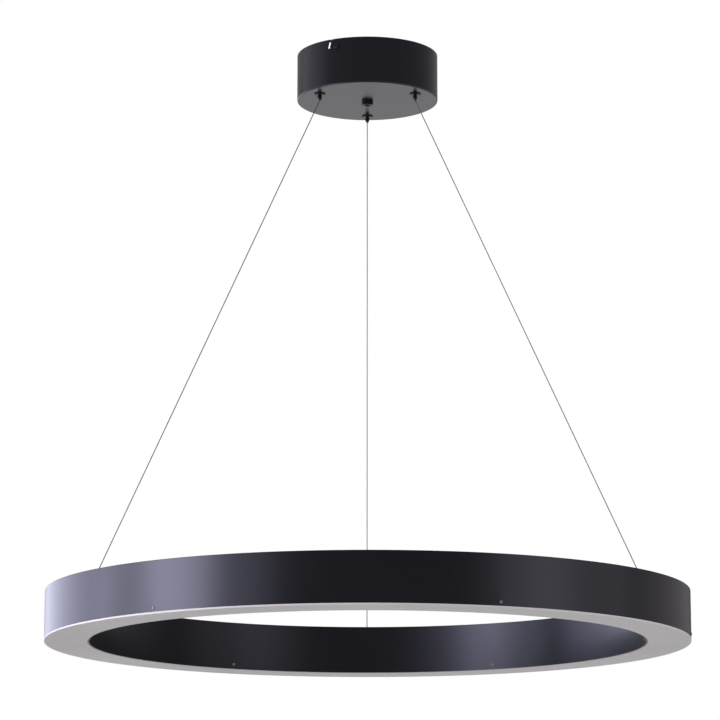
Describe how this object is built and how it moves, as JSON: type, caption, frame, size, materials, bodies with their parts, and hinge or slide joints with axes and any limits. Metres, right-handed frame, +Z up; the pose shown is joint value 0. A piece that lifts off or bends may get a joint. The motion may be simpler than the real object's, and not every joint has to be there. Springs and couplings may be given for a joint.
{
  "type": "led ring chandelier",
  "caption": "Black ring lamp with an opal diffuser on its underside, hung on slanted steel wires from a drum canopy with wire grippers and a bayonet ceiling bracket.",
  "frame": {"origin": "centre of the bracket's cable hole in the ceiling plane", "axes": "+Z up into the ceiling, -Y the front that the picture shows, +X its right"},
  "size_m": [0.8, 0.8, 0.758],
  "materials": {
    "black_coat": "satin black powder coat",
    "opal": "opal diffuser, unlit, fine matt",
    "wire_steel": "stranded stainless wire",
    "zinc_steel": "zinc plated",
    "screw_black": "black oxide, slightly glossy",
    "screw_bright": "nickel plated",
    "gripper_black": "black plated brass",
    "ball_steel": "polished bearing steel",
    "spring_steel": "drawn spring wire",
    "nylon_black": "black nylon",
    "driver_white": "white moulded plastic",
    "block_cream": "cream nylon",
    "foam_pad": "adhesive foam",
    "lead_pvc": "PVC insulation",
    "board_white": "white solder mask",
    "chip_phosphor": "phosphor under clear resin",
    "thermal_grey": "thermal pad"
  },
  "bodies": {
    "bracket": {"ceiling_bracket": "black_coat", "side_screws": "screw_black", "earth_screw": "screw_bright"},
    "canopy": {"canopy_shell": "black_coat", "cord_gland_body": "nylon_black", "cord_gland_nut": "nylon_black", "cord_gland_locknut": "nylon_black", "gripper_barrels": "gripper_black", "gripper_nuts": "zinc_steel", "gripper_caps": "zinc_steel", "spring_rear": "spring_steel", "spring_left": "spring_steel", "spring_right": "spring_steel", "wire_tail_rear": "wire_steel", "wire_tail_left": "wire_steel", "wire_tail_right": "wire_steel", "spare_coil_rear": "wire_steel", "spare_coil_left": "wire_steel", "spare_coil_right": "wire_steel", "driver_pad": "foam_pad", "driver_case": "driver_white", "driver_lid": "driver_white", "terminal_block": "block_cream", "terminal_screws": "zinc_steel", "driver_leads": "lead_pvc"},
    "ring": {"ring_housing": "black_coat", "diffuser_ring": "opal", "outer_diffuser_screws": "screw_bright", "inner_diffuser_screws": "screw_bright", "thermal_pads": "thermal_grey", "led_boards": "board_white", "led_chips": "chip_phosphor", "anchor_bushes": "gripper_black", "anchor_nuts": "zinc_steel", "wire_ferrules": "zinc_steel", "cord_inlet_grommet": "nylon_black", "wire_rear": "wire_steel", "wire_left": "wire_steel", "wire_right": "wire_steel"},
    "plunger_rear": {"plunger_rear": "gripper_black", "balls_rear": "ball_steel"},
    "plunger_left": {"plunger_left": "gripper_black", "balls_left": "ball_steel"},
    "plunger_right": {"plunger_right": "gripper_black", "balls_right": "ball_steel"}
  },
  "joints": [
    {"name": "canopy_twist", "type": "hinge", "parent": "bracket", "child": "canopy", "pos_m": [0, 0, 0], "axis": [0, 0, 1], "range_deg": [0, 6.5]},
    {"name": "ring_height", "type": "slide", "parent": "canopy", "child": "ring", "axis": [0, 0, 1], "range_m": [-0.43, 0.4], "deforming": ["wire_rear", "wire_left", "wire_right"]},
    {"name": "plunger_rear_press", "type": "slide", "parent": "canopy", "child": "plunger_rear", "axis": [0, 0, 1], "range_m": [0, 0.002], "stiffness_N_per_m": 1500, "springref_m": -0.002, "deforming": ["spring_rear"]},
    {"name": "plunger_left_press", "type": "slide", "parent": "canopy", "child": "plunger_left", "axis": [0, 0, 1], "range_m": [0, 0.002], "stiffness_N_per_m": 1500, "springref_m": -0.002, "deforming": ["spring_left"]},
    {"name": "plunger_right_press", "type": "slide", "parent": "canopy", "child": "plunger_right", "axis": [0, 0, 1], "range_m": [0, 0.002], "stiffness_N_per_m": 1500, "springref_m": -0.002, "deforming": ["spring_right"]}
  ]
}
